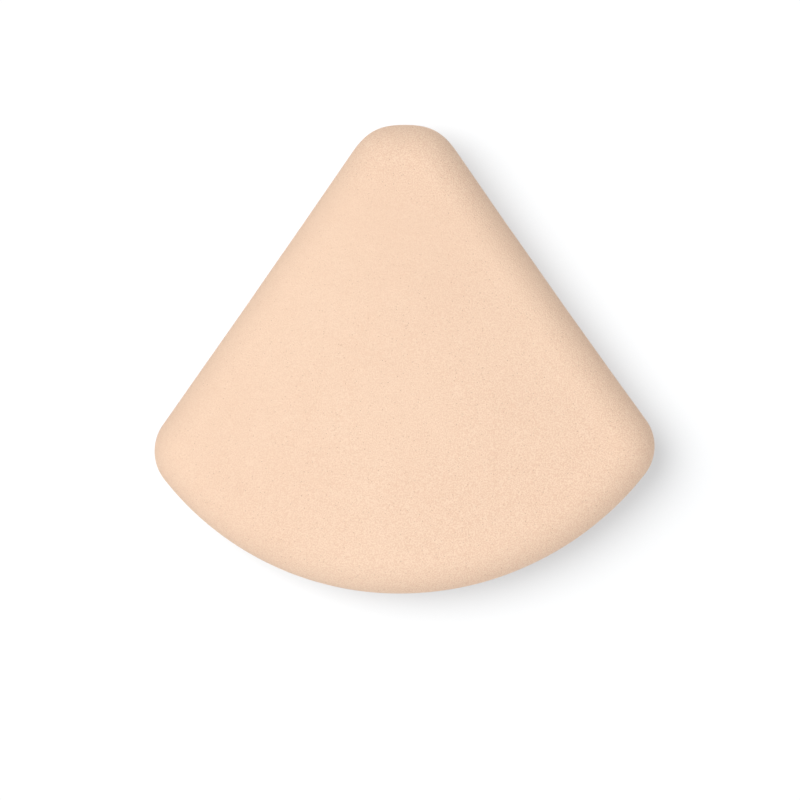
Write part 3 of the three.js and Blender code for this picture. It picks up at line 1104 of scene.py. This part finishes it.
# %% Set the camera
VIEW_CENTRE = Vector((-0.64, -5.71, GIRTH_Z)) * MM
VIEW_WIDTH = 111.8 * MM
VIEW_DISTANCE = 0.6
SENSOR = 36.0
lens = bpy.data.cameras.new("camera")
lens.sensor_width = SENSOR
lens.lens = SENSOR * VIEW_DISTANCE / VIEW_WIDTH
lens.clip_start = 0.01
camera = bpy.data.objects.new("camera", lens)
camera.location = VIEW_CENTRE + Vector((0, 0, VIEW_DISTANCE))
bpy.context.scene.collection.objects.link(camera)
bpy.context.scene.camera = camera
bpy.context.scene.view_settings.view_transform = "Standard"
print(f"lens {lens.lens:.0f} mm at {VIEW_DISTANCE} m")

# %% [markdown]
# ## The floor
# The puff lies on white paper. Paper lit until it looks white would throw too much light on the puff, so
# the paper is a mid grey that takes the soft shadow, and it adds a glow on the rays that show it
# directly: from the camera, in reflections and through clear materials. From below it is clear, so that
# the back of the puff can be looked at.

# %% A glow for the rays that show the background
FLOOR_GREY = (0.2, 0.2, 0.2, 1)
FLOOR_GLOW = 0.59
GLOW_COLOUR = (0.985, 1.0, 1.015, 1)


def shown_directly(tree):
    """1 on rays from the camera, in reflections and through clear materials, and 0 on the rest."""
    path = tree.nodes.new("ShaderNodeLightPath")
    seen = math_node(tree, "MAXIMUM", path.outputs["Is Camera Ray"], path.outputs["Is Glossy Ray"])
    return math_node(tree, "MAXIMUM", seen, path.outputs["Is Transmission Ray"])


def glowing_paper(tree):
    """Grey paper plus the glow, as one shader."""
    paper = tree.nodes.new("ShaderNodeBsdfDiffuse")
    paper.inputs["Color"].default_value = FLOOR_GREY
    glow = tree.nodes.new("ShaderNodeEmission")
    glow.inputs["Color"].default_value = GLOW_COLOUR
    tree.links.new(math_node(tree, "MULTIPLY", shown_directly(tree), FLOOR_GLOW), glow.inputs["Strength"])
    both = tree.nodes.new("ShaderNodeAddShader")
    tree.links.new(paper.outputs[0], both.inputs[0])
    tree.links.new(glow.outputs[0], both.inputs[1])
    return both.outputs[0]


print(f"paper reflects {FLOOR_GREY[0]:.0%} and glows at {FLOOR_GLOW} of white")

# %% Make the floor
FLOOR_HALF = 3.0
FLOOR_DROP = 0.02


def floor_material():
    """White paper from above, and clear from below."""
    material = bpy.data.materials.new("white_paper")
    material.use_nodes = True
    material.cycles.emission_sampling = "NONE"
    tree = material.node_tree
    tree.nodes.clear()
    clear = tree.nodes.new("ShaderNodeBsdfTransparent")
    side_seen = tree.nodes.new("ShaderNodeNewGeometry")
    pick = tree.nodes.new("ShaderNodeMixShader")
    tree.links.new(side_seen.outputs["Backfacing"], pick.inputs[0])
    tree.links.new(glowing_paper(tree), pick.inputs[1])
    tree.links.new(clear.outputs[0], pick.inputs[2])
    output = tree.nodes.new("ShaderNodeOutputMaterial")
    tree.links.new(pick.outputs[0], output.inputs["Surface"])
    return material


corners = np.array([(-1, -1, 0), (1, -1, 0), (1, 1, 0), (-1, 1, 0)])
floor = mesh_piece("floor", corners * FLOOR_HALF, [(0, 1, 2, 3)])
floor.location.z = -FLOOR_DROP * MM
floor.data.materials.append(floor_material())

# %% [markdown]
# ## Light on the puff
# The puff is lit as in a small studio. A large soft lamp on the left gives the shading its direction,
# one above and one in front soften it, and an even dome of light fills the rest. Each lamp is linked to
# the puff alone, so that the floor's shadow can be set by itself.


# %% Soft lamps on the left, above and in front
def add_lamp(light, comes_from):
    """A lamp in the scene that shines from a place towards the puff."""
    lamp = bpy.data.objects.new(light.name, light)
    lamp.location = comes_from
    lamp.rotation_euler = (-Vector(comes_from)).to_track_quat("-Z", "Y").to_euler()
    bpy.context.scene.collection.objects.link(lamp)
    print(f"{light.name}: {light.energy:.2f} from {comes_from}")
    return lamp


def soft_lamp(name, comes_from, size, power):
    """A square soft box."""
    light = bpy.data.lights.new(name, "AREA")
    light.size = size
    light.energy = power
    return add_lamp(light, comes_from)


key = soft_lamp("key", (-0.348, 0.141, 0.706), size=0.5, power=2.5)
top = soft_lamp("top", (0.0, 0.0, 0.8), size=0.5, power=2.15)
fill = soft_lamp("fill", (0.0, -0.514, 0.613), size=0.5, power=1.05)


# %% An even dome, and the pieces that these lamps light
def broad_sun(name, comes_from, angle, strength):
    """Even light from a round patch of sky, angle degrees across."""
    light = bpy.data.lights.new(name, "SUN")
    light.angle = math.radians(angle)
    light.energy = strength
    return add_lamp(light, comes_from)


def gather(name, *pieces):
    """A collection that tells a lamp which pieces it lights or which ones stand in its way."""
    group = bpy.data.collections.new(name)
    for piece in pieces:
        group.objects.link(piece)
    return group


puff_pieces = gather("puff_pieces", puff_face, puff_back, puff_core, puff_strap)
dome = broad_sun("dome", (0, -0.08, 1), angle=170, strength=0.86)
for lamp in (key, top, fill, dome):
    lamp.light_linking.receiver_collection = puff_pieces

# %% [markdown]
# ## Light from below
# A white table throws light back up. The floor here is too dark to do that, so two broad suns below
# stand for it: a wide one for the rounded edge of the face, and a narrower one for the back and the
# strap, which face the table. Only the puff itself stands in their way, because they lie under the floor.

# %% Light for the edge and for the back
bounce = broad_sun("bounce", (0, 0, -1), angle=175, strength=1.9)
bounce.light_linking.receiver_collection = gather("upper_pieces", puff_face, puff_core)
under = broad_sun("under", (0.1, -0.1, -1), angle=40, strength=2.2)
under.light_linking.receiver_collection = gather("lower_pieces", puff_back, puff_strap)
for lamp in (bounce, under):
    lamp.light_linking.blocker_collection = puff_pieces

# %% [markdown]
# ## The shadow and the backdrop
# The soft shadow falls to the lower right. One sun with a wide disc, for the floor alone, gives it its
# reach and its blur. Beyond the floor, the world is white where it is seen directly and dark otherwise.

# %% The floor's own light and a white world
floor_key = broad_sun("floor_key", (-0.39, 0.158, 0.69), angle=46, strength=7.9)
floor_key.light_linking.receiver_collection = gather("floor_only", floor)
world = bpy.data.worlds.new("studio")
bpy.context.scene.world = world
world.use_nodes = True
tree = world.node_tree
tree.nodes.clear()
sky = tree.nodes.new("ShaderNodeBackground")
sky.inputs["Color"].default_value = (1, 1, 1, 1)
tree.links.new(shown_directly(tree), sky.inputs["Strength"])
output = tree.nodes.new("ShaderNodeOutputWorld")
tree.links.new(sky.outputs[0], output.inputs["Surface"])
